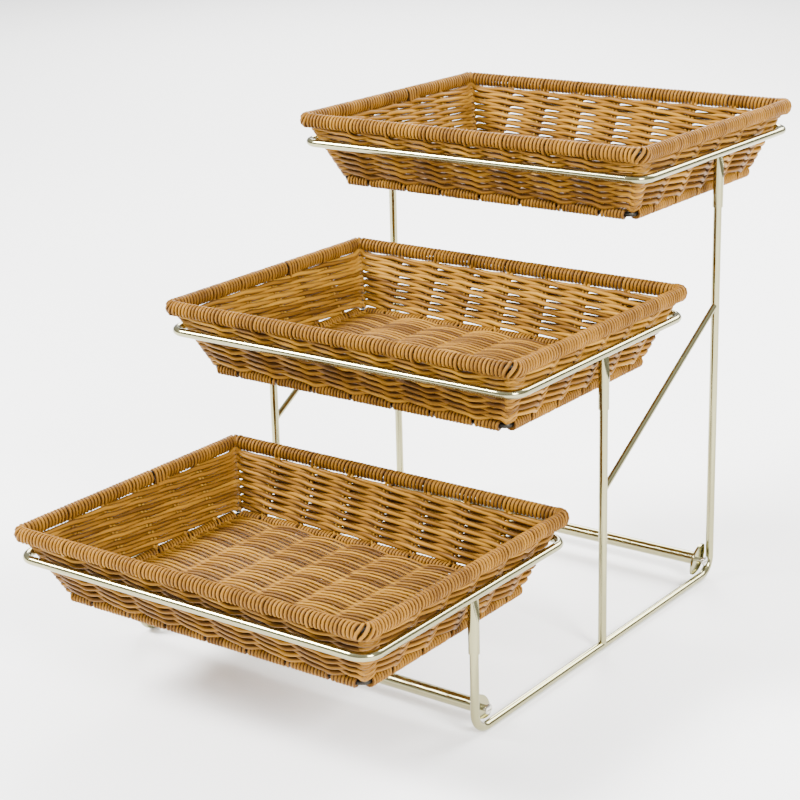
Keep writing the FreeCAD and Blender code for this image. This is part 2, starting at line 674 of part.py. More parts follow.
def rod_between(top, low, radius, top_trim, low_trim):
    way = (low - top).normalize()
    length = (low - top).Length - top_trim - low_trim
    return Part.makeCylinder(radius, length, top + way * top_trim, way)


def wall_stakes():
    spread = (value("strand_dia") + value("stake_pair_gap")) / 2
    trims = (value("stake_rim_trim"), value("foot_roll_dia") / 2 + value("weave_clearance"))
    rods = []
    for top, low, along in stake_lines():
        for shift in (along * -spread, along * spread):
            rods.append(rod_between(top + shift, low + shift, value("strand_dia") / 2, *trims))
    return rods


def corner_posts():
    # Each post stops short of the wires, by more where it leans along them
    radius = value("post_dia") / 2
    posts = []
    for top, low, along in corner_lines():
        gap = value("weave_clearance") + radius * abs((low - top).normalize().dot(along))
        rim_trim = value("rim_wire_dia") / 2 + gap
        foot_trim = value("foot_wire_dia") / 2 + gap
        posts.append(rod_between(top, low, radius, rim_trim, foot_trim))
    return posts


def post_holes():
    radius = value("post_dia") / 2 + value("weave_clearance")
    return [rod_between(top, low, radius, 0.0, 0.0) for top, low, along in corner_lines()]


def slot_between(start, end, along, width, thickness):
    way = (end - start).normalize()
    length = (end - start).Length
    box = Part.makeBox(width, thickness, length, Vector(-width / 2, -thickness / 2, 0))
    turn = FreeCAD.Rotation(along, way.cross(along), way, "ZXY")
    box.Placement = FreeCAD.Placement(start, turn)
    return box


def pair_width():
    return 2 * value("strand_dia") + value("stake_pair_gap") + 2 * value("weave_clearance")


def pair_thickness():
    return value("strand_dia") + 2 * value("weave_clearance")


def wall_slots():
    size = (pair_width(), pair_thickness())
    return [slot_between(top, low, along, *size) for top, low, along in stake_lines()]


def floor_lines():
    # Centre lines of the pairs of stakes that run through the floor from front to back
    number = int(value("long_stake_count"))
    lines = []
    for place_number in range(number):
        x = value("long_stake_pitch") * (place_number - (number - 1) / 2)
        front = Vector(x, -value("floor_half_y"), value("foot_z"))
        back = Vector(x, value("floor_half_y"), value("foot_z"))
        lines.append((front, back))
    return lines


def floor_stakes():
    spread = Vector((value("strand_dia") + value("stake_pair_gap")) / 2, 0, 0)
    radius = value("strand_dia") / 2
    rods = []
    for front, back in floor_lines():
        rods.append(rod_between(front - spread, back - spread, radius, 0.0, 0.0))
        rods.append(rod_between(front + spread, back + spread, radius, 0.0, 0.0))
    return rods


def floor_slots():
    size = (pair_width(), pair_thickness())
    return [slot_between(front, back, Vector(1, 0, 0), *size) for front, back in floor_lines()]


def foot_wraps():
    # Wrapping on the four straight sides of the foot wire; the corners stay bare
    radius = value("foot_roll_dia") / 2
    bore = value("foot_wire_dia") / 2 + value("weave_clearance")
    straight_x = value("foot_half_x") - value("foot_corner_radius")
    straight_y = value("foot_half_y") - value("foot_corner_radius")
    rolls = []
    for side in (-1, 1):
        y = side * value("foot_half_y")
        x = side * value("foot_half_x")
        runs = (
            (Vector(-straight_x, y, value("foot_z")), Vector(straight_x, y, value("foot_z"))),
            (Vector(x, -straight_y, value("foot_z")), Vector(x, straight_y, value("foot_z"))),
        )
        for start, end in runs:
            roll = rod_between(start, end, radius, 0.0, 0.0)
            rolls.append(roll.cut(rod_between(start, end, bore, 0.0, 0.0)))
    return rolls


def wall_body(name):
    body = new_body(name)
    for part_name, kind in (("outer", "AdditiveLoft"), ("inner", "SubtractiveLoft")):
        low = new_sketch(body, part_name + "_low", "XY_Plane", "wall_low_z")
        outline = ["wall_low_%s_%s" % (part_name, letter) for letter in "xyr"]
        draw_rounded_rectangle(low, *outline)
        high = new_sketch(body, part_name + "_top", "XY_Plane", "wall_top_z")
        outline = ["wall_top_%s_%s" % (part_name, letter) for letter in "xyr"]
        draw_rounded_rectangle(high, *outline)
        add_loft(body, part_name, kind, low, high)
    return body


def floor_body(name):
    body = new_body(name)
    outline = new_sketch(body, "outline", "XY_Plane", "floor_low_z")
    draw_rounded_rectangle(outline, "floor_half_x", "floor_half_y", "foot_corner_radius")
    add_pad(body, "mat", outline, "floor_thickness")
    return body


def basket(tier, y, rim_z):
    name = tier + "_basket_"
    foot_z = "%s - %s" % (rim_z, ref("basket_drop"))
    for edge, edge_z in (("rim", rim_z), ("foot", foot_z)):
        wire_sizes = [edge + "_" + word for word in ("half_x", "half_y", "corner_radius", "wire_dia")]
        wire = loop_body(name + edge + "_wire", *wire_sizes)
        keep(name + edge + "_wire", place(wire, y=y, z=edge_z))
    groups = (("corner_posts", corner_posts), ("wall_stakes", wall_stakes))
    groups += (("floor_stakes", floor_stakes), ("foot_wrap", foot_wraps))
    for group_name, make in groups:
        keep(name + group_name, place(add_solids(name + group_name, make()), y=y, z=rim_z))
    roll_words = ("half_x", "half_y", "corner_radius", "roll_dia", "roll_drop", "wrap_bore")
    roll_sizes = ["rim_" + word for word in roll_words]
    cuts = (
        ("rim_wrap", loop_body(name + "rim_roll", *roll_sizes), post_holes()),
        ("wall_weave", wall_body(name + "wall"), wall_slots() + post_holes()),
        ("floor_weave", floor_body(name + "floor"), floor_slots()),
    )
    for node_name, body, holes in cuts:
        place(body, y=y, z=rim_z)
        tool = place(add_solids(name + node_name + "_holes", holes), y=y, z=rim_z)
        keep(name + node_name, add_cut(name + node_name, body, tool))


for tier in ("lower", "middle", "upper"):
    tier_y = ref(tier + "_y")
    hoop_z = ref(tier + "_hoop_z")
    hoop(tier + "_hoop", tier_y, hoop_z)
    for side_name, side in sides:
        socket("%s_%s_socket" % (tier, side_name), side, frame_x[side_name], tier_y, hoop_z)
    basket(tier, tier_y, ref(tier + "_rim_z"))

doc.recompute()

# Every feature must have solved and every sub-part must be whole before anything is written

failed = []
for item in doc.Objects:
    if "Invalid" in item.State or "Error" in item.State:
        failed.append(item.Name)
for node, item in nodes.items():
    if item.Shape.isNull() or not item.Shape.isValid() or not item.Shape.Solids:
        failed.append(node)
if failed:
    raise RuntimeError("not built: " + ", ".join(failed))

os.makedirs("parts", exist_ok=True)
for node, item in nodes.items():
    item.Shape.exportStep("parts/%s.step" % node)
print(len(nodes), "nodes,", sum(len(item.Shape.Solids) for item in nodes.values()), "solids")
for alias in ("hoop_half_x", "hoop_half_y", "socket_length", "lower_rim_z", "middle_rim_z", "upper_rim_z"):
    print(alias, round(value(alias), 3))
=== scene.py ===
import json
import math

import bpy
import numpy as np
from mathutils import Matrix, Vector


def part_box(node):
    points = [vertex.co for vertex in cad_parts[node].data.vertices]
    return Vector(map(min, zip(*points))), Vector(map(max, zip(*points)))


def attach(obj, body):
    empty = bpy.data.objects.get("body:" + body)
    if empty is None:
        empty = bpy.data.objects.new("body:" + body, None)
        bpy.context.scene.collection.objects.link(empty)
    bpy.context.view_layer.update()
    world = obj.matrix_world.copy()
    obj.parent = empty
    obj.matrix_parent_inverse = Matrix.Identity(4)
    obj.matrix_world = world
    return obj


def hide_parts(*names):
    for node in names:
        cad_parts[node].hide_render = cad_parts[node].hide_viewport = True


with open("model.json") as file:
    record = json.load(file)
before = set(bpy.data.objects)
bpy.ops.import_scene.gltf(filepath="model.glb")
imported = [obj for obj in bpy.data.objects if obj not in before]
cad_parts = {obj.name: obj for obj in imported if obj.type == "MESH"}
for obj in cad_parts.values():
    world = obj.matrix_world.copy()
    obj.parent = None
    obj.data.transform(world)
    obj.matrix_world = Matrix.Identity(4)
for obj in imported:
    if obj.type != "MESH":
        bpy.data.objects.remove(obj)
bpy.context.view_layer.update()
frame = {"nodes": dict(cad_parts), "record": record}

nodes = frame["nodes"]
tiers = ("lower", "middle", "upper")
print("frame loaded:", len(nodes), "CAD nodes")


# node tree helpers

def addNode(tree, kind, inputs=None, **settings):
    node = tree.nodes.new(kind)
    for key, setting in settings.items():
        setattr(node, key, setting)
    for key, source in (inputs or {}).items():
        if isinstance(source, bpy.types.NodeSocket):
            tree.links.new(source, node.inputs[key])
        else:
            node.inputs[key].default_value = source
    return node


def calc(tree, operation, *sources):
    return addNode(tree, "ShaderNodeMath", dict(enumerate(sources)), operation=operation).outputs[0]


def vecCalc(tree, operation, *sources):
    return addNode(tree, "ShaderNodeVectorMath", dict(enumerate(sources)), operation=operation).outputs[0]


def scaled(tree, vector, factor):
    return addNode(tree, "ShaderNodeVectorMath", {0: vector, 3: factor}, operation="SCALE").outputs[0]


def summed(tree, *vectors):
    total = vectors[0]
    for vector in vectors[1:]:
        total = vecCalc(tree, "ADD", total, vector)
    return total


def blend(tree, factor, first, second):
    return addNode(tree, "ShaderNodeMix", {"Factor": factor, "A": first, "B": second}).outputs["Result"]


def attribute(tree, name, kind="FLOAT"):
    return addNode(tree, "GeometryNodeInputNamedAttribute", {"Name": name}, data_type=kind).outputs[0]


def store(tree, geometry, name, value, kind="FLOAT"):
    inputs = {"Geometry": geometry, "Name": name, "Value": value}
    return addNode(tree, "GeometryNodeStoreNamedAttribute", inputs, data_type=kind, domain="POINT").outputs[0]


def newShapeTree(name, sizes):
    tree = bpy.data.node_groups.new(name, "GeometryNodeTree")
    tree.is_modifier = True
    tree.interface.new_socket("Guide", in_out="INPUT", socket_type="NodeSocketGeometry")
    for label, default in sizes.items():
        kind = "NodeSocketInt" if isinstance(default, int) else "NodeSocketFloat"
        tree.interface.new_socket(label, in_out="INPUT", socket_type=kind).default_value = default
    tree.interface.new_socket("Finish", in_out="INPUT", socket_type="NodeSocketMaterial")
    tree.interface.new_socket("Strands", in_out="OUTPUT", socket_type="NodeSocketGeometry")
    return tree, tree.nodes.new("NodeGroupInput").outputs


# sweeps a round strand along every curve, and stores what its finish reads
def sweepStrands(tree, curves, given, tone, girth=1.0):
    length = addNode(tree, "GeometryNodeSplineParameter").outputs["Length"]
    curves = store(tree, curves, "along", length)
    curves = store(tree, curves, "tone", tone)
    ring = addNode(tree, "GeometryNodeCurvePrimitiveCircle",
                   {"Resolution": given["Facets"], "Radius": given["Strand radius"]})
    turn = addNode(tree, "GeometryNodeSplineParameter").outputs["Factor"]
    profile = store(tree, ring.outputs[0], "around", turn)
    sweep = {"Curve": curves, "Profile Curve": profile, "Scale": girth, "Fill Caps": True}
    swept = addNode(tree, "GeometryNodeCurveToMesh", sweep)
    # how far each face turns towards the next strand, the mask for the painted shade in the grooves between
    # strands
    normal = addNode(tree, "GeometryNodeInputNormal").outputs[0]
    beside = attribute(tree, "beside", "FLOAT_VECTOR")
    turned = addNode(tree, "ShaderNodeVectorMath", {0: normal, 1: beside}, operation="DOT_PRODUCT")
    paintedCreaseShade = calc(tree, "ABSOLUTE", turned.outputs["Value"])
    withCreaseShade = store(tree, swept.outputs[0], "paintedCreaseShade", paintedCreaseShade)
    smooth = addNode(tree, "GeometryNodeSetShadeSmooth", {0: withCreaseShade})
    whole = addNode(tree, "GeometryNodeRealizeInstances", {0: smooth.outputs[0]})
    done = addNode(tree, "GeometryNodeSetMaterial",
                   {"Geometry": whole.outputs[0], "Material": given["Finish"]})
    addNode(tree, "NodeGroupOutput", {0: done.outputs[0]})


# steps that keep the noise of one strand, or of one seed, apart from the next
noiseStep = {"strand": 1.37, "seed": 7.31, "tone": 31.7}


# soft random drift of a strand, a little different for each one
def drift(tree, place, strandNumber, given, fineness):
    seedShift = calc(tree, "MULTIPLY", given["Seed"], noiseStep["seed"])
    spread = calc(tree, "MULTIPLY_ADD", strandNumber, noiseStep["strand"], seedShift)
    noise = addNode(tree, "ShaderNodeTexNoise",
                    {"Vector": place, "W": spread, "Scale": fineness, "Detail": 1.0}, noise_dimensions="4D")
    centred = vecCalc(tree, "SUBTRACT", noise.outputs["Color"], (0.5, 0.5, 0.5))
    return scaled(tree, centred, given["Drift"])


def randomTone(tree, number, given):
    shifted = calc(tree, "MULTIPLY_ADD", given["Seed"], noiseStep["tone"], number)
    return addNode(tree, "ShaderNodeTexWhiteNoise", {"W": shifted}, noise_dimensions="1D").outputs["Value"]


# turns a guide and its tree into a plain mesh piece
def growPiece(name, guideMesh, tree, sizes, finish, body, replaced):
    piece = bpy.data.objects.new(name, guideMesh)
    bpy.context.scene.collection.objects.link(piece)
    modifier = piece.modifiers.new("strands", "NODES")
    modifier.node_group = tree
    for item in tree.interface.items_tree:
        if item.in_out == "INPUT" and item.name in sizes:
            modifier[item.identifier] = sizes[item.name]
        if item.in_out == "INPUT" and item.name == "Finish":
            modifier[item.identifier] = finish
    grown = piece.evaluated_get(bpy.context.evaluated_depsgraph_get())
    mesh = bpy.data.meshes.new_from_object(grown)
    piece.modifiers.clear()
    piece.data = mesh
    mesh.name = name
    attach(piece, body)
    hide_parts(replaced)
    print(name, sum(len(face.vertices) - 2 for face in mesh.polygons), "triangles")


# a mesh of open or closed lines with values on its points, for a tree to follow
def guide(name, lines, closed=False):
    points = []
    edges = []
    values = {}
    for line in lines:
        first = len(points)
        count = len(line["at"])
        points += [tuple(point) for point in line["at"]]
        edges += [(first + i, first + i + 1) for i in range(count - 1)]
        if closed:
            edges.append((first + count - 1, first))
        for key, row in line.items():
            if key != "at":
                values.setdefault(key, []).extend(np.asarray(row, float).tolist())
    mesh = bpy.data.meshes.new(name)
    mesh.from_pydata(points, edges, [])
    for key, rows in values.items():
        kind = "FLOAT_VECTOR" if isinstance(rows[0], list) else "FLOAT"
        layer = mesh.attributes.new(key, kind, "POINT")
        layer.data.foreach_set("vector" if kind == "FLOAT_VECTOR" else "value", np.ravel(rows))
    return mesh


# basket shape, read from the CAD wires

basket = {
    "rimCorner": 0.006,
    "footCorner": 0.008,
    "wallCorner": 0.0055,
    "longStakes": [0.045 * i for i in range(-3, 4)],
    "shortStakes": [0.0425 * i for i in range(-2, 3)],
    "slitDepth": 0.0084,         # from the rim's centre down to the first course
    "footCover": 0.0058,         # from the last course down to the foot's centre
}
loopDetail = {"arc": 60, "search": 24000, "wind": 12000, "windSide": 4000}   # points along fine lines
shortBays = len(basket["shortStakes"]) + 1
longBays = len(basket["longStakes"]) + 1
cornerStakes = np.cumsum((0, shortBays, longBays, shortBays, longBays))   # counted round from the back left


def wireLoop(tier, edge):
    low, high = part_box("%s_basket_%s_wire" % (tier, edge))
    radius = (high.z - low.z) / 2
    centre = (low + high) / 2
    return centre, (high.x - low.x) / 2 - radius, (high.y - low.y) / 2 - radius


# a rounded rectangle as a fine line, counter-clockwise from the middle of the back left corner
def walkLoop(halfX, halfY, corner):
    centres = ((-1, 1, 135), (-1, -1, 180), (1, -1, 270), (1, 1, 0), (-1, 1, 90))
    points = []
    normals = []
    for number, (signX, signY, start) in enumerate(centres):
        sweep = 45 if number in (0, 4) else 90
        for angle in np.radians(np.linspace(start, start + sweep, loopDetail["arc"])):
            normals.append((math.cos(angle), math.sin(angle)))
            points.append((signX * (halfX - corner) + corner * math.cos(angle),
                           signY * (halfY - corner) + corner * math.sin(angle)))
    points = np.array(points)
    steps = np.linalg.norm(np.diff(points, axis=0), axis=1)
    return points, np.array(normals), np.concatenate(([0.0], np.cumsum(steps)))


def alongLoop(loop, lengths):
    points, normals, walked = loop
    at = np.stack([np.interp(lengths, walked, points[:, i]) for i in (0, 1)], axis=1)
    facing = np.stack([np.interp(lengths, walked, normals[:, i]) for i in (0, 1)], axis=1)
    return at, facing / np.linalg.norm(facing, axis=1, keepdims=True)


# where the stakes stand along a loop, in order round the basket
def stakeLengths(loop, halfX, halfY, corner):
    cut = corner * (1 - math.sqrt(0.5))
    left = [(-halfX, -y) for y in basket["shortStakes"]]
    front = [(x, -halfY) for x in basket["longStakes"]]
    right = [(halfX, y) for y in basket["shortStakes"]]
    back = [(-x, halfY) for x in basket["longStakes"]]
    places = left + [(cut - halfX, cut - halfY)] + front + [(halfX - cut, cut - halfY)]
    places += right + [(halfX - cut, halfY - cut)] + back
    fine = np.linspace(0, loop[2][-1], loopDetail["search"])
    at = alongLoop(loop, fine)[0]
    found = [fine[np.argmin(np.sum((at - place) ** 2, axis=1))] for place in places]
    return np.array([0.0] + found + [loop[2][-1]])


# 1 at each centre, fading to 0 over the width, along a line or round a loop
def bump(places, centres, width, around=None):
    gap = np.abs(places[:, None] - np.asarray(centres)[None, :])
    if around:
        gap = np.minimum(gap, around - gap)
    near = np.clip(1 - gap.min(axis=1) / width, 0, 1)
    return near * near * (3 - 2 * near)


# finishes

strandLook = {
    "dark": (0.074, 0.030, 0.005, 1.0),
    "middle": (0.240, 0.108, 0.011, 1.0),
    "light": (0.425, 0.218, 0.021, 1.0),
    "stops": (0.25, 0.58, 0.95),     # shades at which the three colours stand
    "roughness": 0.30,
    "roughVary": 0.18,
    "shine": 0.08,
    "relief": 0.25,
    "reliefDepth": 0.0004,
    "paintedCreaseShade": 0.50,                  # painted shade: by which the colour darkens where a strand lies against the next one
    "paintedShadeFalloff": 3.0,
}

grainLook = {
    "streaks": (2.2, 2.2, 22.0),     # across, across and along a strand
    "blotches": (0.5, 0.5, 9.0),
    "lines": (6.0, 6.0, 14.0),
    "toneShift": 40.0,
    "toneShare": 0.45,
    "streakShare": 0.35,
    "blotchShare": 0.4,
}

metalLook = {                        # colour and roughness
    "nickel": ((0.33, 0.31, 0.17, 1.0), 0.14),
    "screw": ((0.66, 0.64, 0.56, 1.0), 0.22),
    "turned": ((0.52, 0.52, 0.51, 1.0), 0.35),
    # the wire is near black, partly its own dark look and partly painted shade, so the wire seen in the gaps
    # between the wraps reads as shadow
    "wire": ((0.030, 0.027, 0.022, 1.0), 0.38),
}

platingLook = {
    "rippleSize": 60.0,
    "scuffSize": (900.0, 900.0, 900.0),
    "troughShade": 0.94,                     # painted shade: share of the colour left in the troughs of the ripples
    "roughVary": 0.10,
    "relief": 0.08,
    "reliefDepth": 0.0005,
}


def newFinish(name):
    finish = bpy.data.materials.new(name)
    finish.use_nodes = True
    return finish, finish.node_tree, finish.node_tree.nodes["Principled BSDF"]


def newShaderGroup(name, inputs, outputs):
    group = bpy.data.node_groups.new(name, "ShaderNodeTree")
    for label, default in inputs.items():
        kind = "NodeSocketVector" if isinstance(default, tuple) else "NodeSocketFloat"
        group.interface.new_socket(label, in_out="INPUT", socket_type=kind).default_value = default
    for label in outputs:
        group.interface.new_socket(label, in_out="OUTPUT", socket_type="NodeSocketFloat")
    return group, group.nodes.new("NodeGroupInput").outputs


# drawn plastic strand: streaks along it, blotches, and fine lengthwise lines
def makeStrandGrain():
    inputs = {"Along": 0.0, "Around": 0.0, "Tone": 0.5}
    group, given = newShaderGroup("strandGrain", inputs, ("Shade", "Height"))
    turn = calc(group, "MULTIPLY", given["Around"], 2 * math.pi)
    offset = calc(group, "MULTIPLY", given["Tone"], grainLook["toneShift"])
    along = calc(group, "ADD", given["Along"], offset)
    ring = {0: calc(group, "COSINE", turn), 1: calc(group, "SINE", turn), 2: along}
    strand = addNode(group, "ShaderNodeCombineXYZ", ring).outputs[0]
    noise = {}
    for key, detail in (("streaks", 3.0), ("blotches", 1.0), ("lines", 2.0)):
        stretched = vecCalc(group, "MULTIPLY", strand, grainLook[key])
        inputs = {"Vector": stretched, "Scale": 1.0, "Detail": detail}
        noise[key] = addNode(group, "ShaderNodeTexNoise", inputs).outputs[0]
    shade = calc(group, "MULTIPLY", noise["streaks"], grainLook["streakShare"])
    shade = calc(group, "MULTIPLY_ADD", given["Tone"], grainLook["toneShare"], shade)
    shade = calc(group, "MULTIPLY_ADD", noise["blotches"], grainLook["blotchShare"], shade)
    addNode(group, "NodeGroupOutput", {"Shade": shade, "Height": noise["lines"]})
    return group


# polished plating: soft ripples, whose troughs the metal finish darkens as painted shade, and hairline scuffs
def makePlatingScuffsAndRipples():
    group, given = newShaderGroup("platingScuffsAndRipples", {"Place": (0.0, 0.0, 0.0)}, ("Scuff", "Ripple"))
    inputs = {"Vector": given["Place"], "Scale": platingLook["rippleSize"], "Detail": 2.0}
    ripple = addNode(group, "ShaderNodeTexNoise", inputs)
    scuffPlace = vecCalc(group, "MULTIPLY", given["Place"], platingLook["scuffSize"])
    scuff = addNode(group, "ShaderNodeTexNoise", {"Vector": scuffPlace, "Scale": 1.0, "Detail": 2.0})
    addNode(group, "NodeGroupOutput", {"Scuff": scuff.outputs[0], "Ripple": ripple.outputs[0]})
    return group


strandGrain = makeStrandGrain()
platingScuffsAndRipples = makePlatingScuffsAndRipples()


def strandFinish(name, brighter):
    finish, tree, shader = newFinish(name)
    read = {}
    for key in ("along", "around", "tone", "paintedCreaseShade"):
        read[key] = addNode(tree, "ShaderNodeAttribute", attribute_name=key).outputs["Fac"]
    inputs = {"Along": read["along"], "Around": read["around"], "Tone": read["tone"]}
    grain = addNode(tree, "ShaderNodeGroup", inputs, node_tree=strandGrain)
    # painted shade: the colour darkens where a face turns towards the next strand, standing in for the shade
    # in the grooves
    paintedCreaseShade = calc(tree, "POWER", read["paintedCreaseShade"], strandLook["paintedShadeFalloff"])
    paintedCreaseShade = calc(tree, "MULTIPLY", paintedCreaseShade, strandLook["paintedCreaseShade"])
    shade = calc(tree, "ADD", calc(tree, "SUBTRACT", grain.outputs["Shade"], paintedCreaseShade), brighter)
    ramp = addNode(tree, "ShaderNodeValToRGB", {0: shade})
    darkAt, middleAt, lightAt = strandLook["stops"]
    ramp.color_ramp.elements[0].position = darkAt
    ramp.color_ramp.elements[0].color = strandLook["dark"]
    ramp.color_ramp.elements[1].position = lightAt
    ramp.color_ramp.elements[1].color = strandLook["light"]
    ramp.color_ramp.elements.new(middleAt).color = strandLook["middle"]
    tree.links.new(ramp.outputs[0], shader.inputs["Base Color"])
    height = grain.outputs["Height"]
    rough = calc(tree, "MULTIPLY_ADD", height, strandLook["roughVary"], strandLook["roughness"])
    tree.links.new(rough, shader.inputs["Roughness"])
    shader.inputs["Specular IOR Level"].default_value = strandLook["shine"]
    raised = {"Strength": strandLook["relief"], "Distance": strandLook["reliefDepth"], "Height": height}
    tree.links.new(addNode(tree, "ShaderNodeBump", raised).outputs[0], shader.inputs["Normal"])
    return finish


def metalFinish(name, look):
    colour, roughness = look
    finish, tree, shader = newFinish(name)
    place = addNode(tree, "ShaderNodeTexCoord").outputs["Object"]
    scuffsAndRipples = addNode(tree, "ShaderNodeGroup", {"Place": place}, node_tree=platingScuffsAndRipples)
    ripple = scuffsAndRipples.outputs["Ripple"]
    # painted shade: the colour darkens in the troughs of the ripples
    troughShaded = [part * platingLook["troughShade"] for part in colour[:3]] + [1.0]
    tint = addNode(tree, "ShaderNodeMix", data_type="RGBA")
    tree.links.new(ripple, tint.inputs["Factor"])
    tint.inputs["A"].default_value = troughShaded
    tint.inputs["B"].default_value = colour
    tree.links.new(tint.outputs["Result"], shader.inputs["Base Color"])
    shader.inputs["Metallic"].default_value = 1.0
    roughVary = platingLook["roughVary"]
    rough = calc(tree, "MULTIPLY_ADD", scuffsAndRipples.outputs["Scuff"], roughVary, roughness - roughVary / 2)
    tree.links.new(rough, shader.inputs["Roughness"])
    raised = {"Strength": platingLook["relief"], "Distance": platingLook["reliefDepth"], "Height": ripple}
    tree.links.new(addNode(tree, "ShaderNodeBump", raised).outputs[0], shader.inputs["Normal"])
    return finish


weaveFinish = strandFinish("wovenStrand", 0.0)
# painted shade: the wrapped rim and foot take a copy of the strand finish shifted darker, against the strong
# light from above on the rim
wrapFinish = strandFinish("wrappedStrand", -0.08)
nickelFinish = metalFinish("polishedNickel", metalLook["nickel"])
screwFinish = metalFinish("platedScrew", metalLook["screw"])
turnedFinish = metalFinish("turnedSteel", metalLook["turned"])
wireFinish = metalFinish("drawnWire", metalLook["wire"])

finishOfSlot = {"polished_rod": nickelFinish, "screw_steel": screwFinish, "bare_steel": turnedFinish,
                "frame_wire": wireFinish, "woven_strand": weaveFinish}
for subpart in frame["record"]["subparts"]:
    mesh = nodes[subpart["node"]].data
    mesh.materials.clear()
    mesh.materials.append(finishOfSlot[subpart["material_slot"]])
print("finishes ready")


# woven wall: courses of two strands that cross between the stakes, one outside and one inside each stake

wall = {
    "Courses": 8,
    "Bulge": 0.0036,             # of a strand in front of a stake or behind it
    "Lead": 0.15,                # share of a bay by which the bulge runs ahead
    "Twist": 0.0017,             # rise and drop of the two strands where they cross
    "Swap": 0.26,                # smaller makes the drop in front of a stake steeper
    "Share": 0.35,               # of that drop in the run behind a stake
    "Sag": 0.0009,
    "Top dip": 0.0006,
    "Corner bulge": -0.0009,
    "Corner swell": 0.30,
    "Stake swell": 0.20,
    "Strand radius": 0.00215,
    "Facets": 8,
    "Drift": 0.0006,
    "Seed": 1,
}
wallBend = {
    "steps": 20,                 # points from one stake to the next
    "cornerShift": 0.10,         # share of a corner bay by which its crossing lies nearer the corner
    "cornerReach": 0.20,         # share of a bay over which the strands stack up at a corner
    "tightReach": 0.60,          # share of a bay over which the bulge dies away towards a corner
    "cornerTight": 0.10,
    "cornerRise": 0.0026,        # at a corner the courses fill the height from the rim to the bare foot wire
    "cornerDrop": 0.0042,
    "shortSlack": 0.70,          # the strands hang less on the short walls
    "driftFineness": 45.0,
}


def makeWallTree():
    tree, given = newShapeTree("wallPairing", wall)
    line = addNode(tree, "GeometryNodeMeshToCurve", {0: given["Guide"]})
    amount = calc(tree, "MULTIPLY", given["Courses"], 2.0)
    copies = addNode(tree, "GeometryNodeDuplicateElements",
                     {"Geometry": line.outputs[0], "Amount": amount}, domain="SPLINE")
    number = copies.outputs["Duplicate Index"]
    course = calc(tree, "FLOOR", calc(tree, "DIVIDE", number, 2.0))
    member = calc(tree, "MODULO", number, 2.0)
    depth = calc(tree, "DIVIDE", calc(tree, "ADD", course, 0.5), given["Courses"])
    top = addNode(tree, "GeometryNodeInputPosition").outputs[0]
    low = attribute(tree, "low", "FLOAT_VECTOR")
    fall = vecCalc(tree, "SUBTRACT", low, top)
    base = vecCalc(tree, "ADD", top, scaled(tree, fall, depth))
    up = scaled(tree, vecCalc(tree, "NORMALIZE", fall), -1.0)
    outward = vecCalc(tree, "NORMALIZE", attribute(tree, "outward", "FLOAT_VECTOR"))
    phase = calc(tree, "FLOORED_MODULO", calc(tree, "SUBTRACT", attribute(tree, "stake"), member), 2.0)
    angle = calc(tree, "MULTIPLY", phase, math.pi)
    swing = calc(tree, "COSINE", calc(tree, "MULTIPLY_ADD", given["Lead"], math.pi, angle))
    bulge = calc(tree, "MULTIPLY", swing, calc(tree, "MULTIPLY", given["Bulge"], -1.0))
    bulge = calc(tree, "MULTIPLY", bulge, attribute(tree, "tight"))
    # a strand runs straight behind a stake and hangs in front of it
    inner = calc(tree, "COSINE", angle)
    outer = calc(tree, "MULTIPLY_ADD", inner, -0.5, 0.5)
    sag = calc(tree, "MULTIPLY", given["Sag"], attribute(tree, "slack"))
    hang = calc(tree, "MULTIPLY", calc(tree, "MULTIPLY", outer, outer), sag)
    crossing = calc(tree, "SINE", angle)
    isTop = calc(tree, "LESS_THAN", course, 0.5)
    crossingSquared = calc(tree, "MULTIPLY", crossing, crossing)
    topDip = calc(tree, "MULTIPLY", calc(tree, "MULTIPLY", given["Top dip"], isTop), crossingSquared)
    # behind a stake a strand climbs almost evenly, in front it drops close to the stake
    climb = calc(tree, "DIVIDE", calc(tree, "ARCSINE", crossing), math.pi / 2)
    swapSquared = calc(tree, "MULTIPLY", given["Swap"], given["Swap"])
    reach = calc(tree, "SQRT", calc(tree, "ADD", crossingSquared, swapSquared))
    fullReach = calc(tree, "SQRT", calc(tree, "ADD", swapSquared, 1.0))
    plunge = calc(tree, "MULTIPLY", calc(tree, "DIVIDE", crossing, reach), fullReach)
    behind = blend(tree, given["Share"], climb, plunge)
    ahead = calc(tree, "SUBTRACT", calc(tree, "MULTIPLY", plunge, 2.0), behind)
    isBehind = calc(tree, "GREATER_THAN", inner, 0.0)
    twist = blend(tree, isBehind, ahead, behind)
    twist = calc(tree, "MULTIPLY", twist, given["Twist"])
    sway = calc(tree, "SUBTRACT", twist, calc(tree, "ADD", hang, topDip))
    # at a corner post the two strands of a course stack up, one above the other
    atCorner = attribute(tree, "corner")
    bulge = blend(tree, atCorner, bulge, given["Corner bulge"])
    height = addNode(tree, "ShaderNodeVectorMath", {0: fall}, operation="LENGTH").outputs["Value"]
    quarterHeight = calc(tree, "MULTIPLY", height, 0.25)
    stack = calc(tree, "DIVIDE", calc(tree, "MULTIPLY", inner, quarterHeight), given["Courses"])
    sway = blend(tree, atCorner, sway, stack)
    wander = drift(tree, base, number, given, wallBend["driftFineness"])
    place = summed(tree, base, scaled(tree, outward, bulge), scaled(tree, up, sway), wander)
    woven = addNode(tree, "GeometryNodeSetPosition",
                    {"Geometry": copies.outputs["Geometry"], "Position": place})
    # a strand spreads where it is drawn over a stake or a post
    spread = calc(tree, "MULTIPLY", calc(tree, "MULTIPLY", inner, inner), given["Stake swell"])
    girth = calc(tree, "ADD", blend(tree, atCorner, spread, given["Corner swell"]), 1.0)
    sweepStrands(tree, woven.outputs[0], given, randomTone(tree, number, given), girth)
    return tree


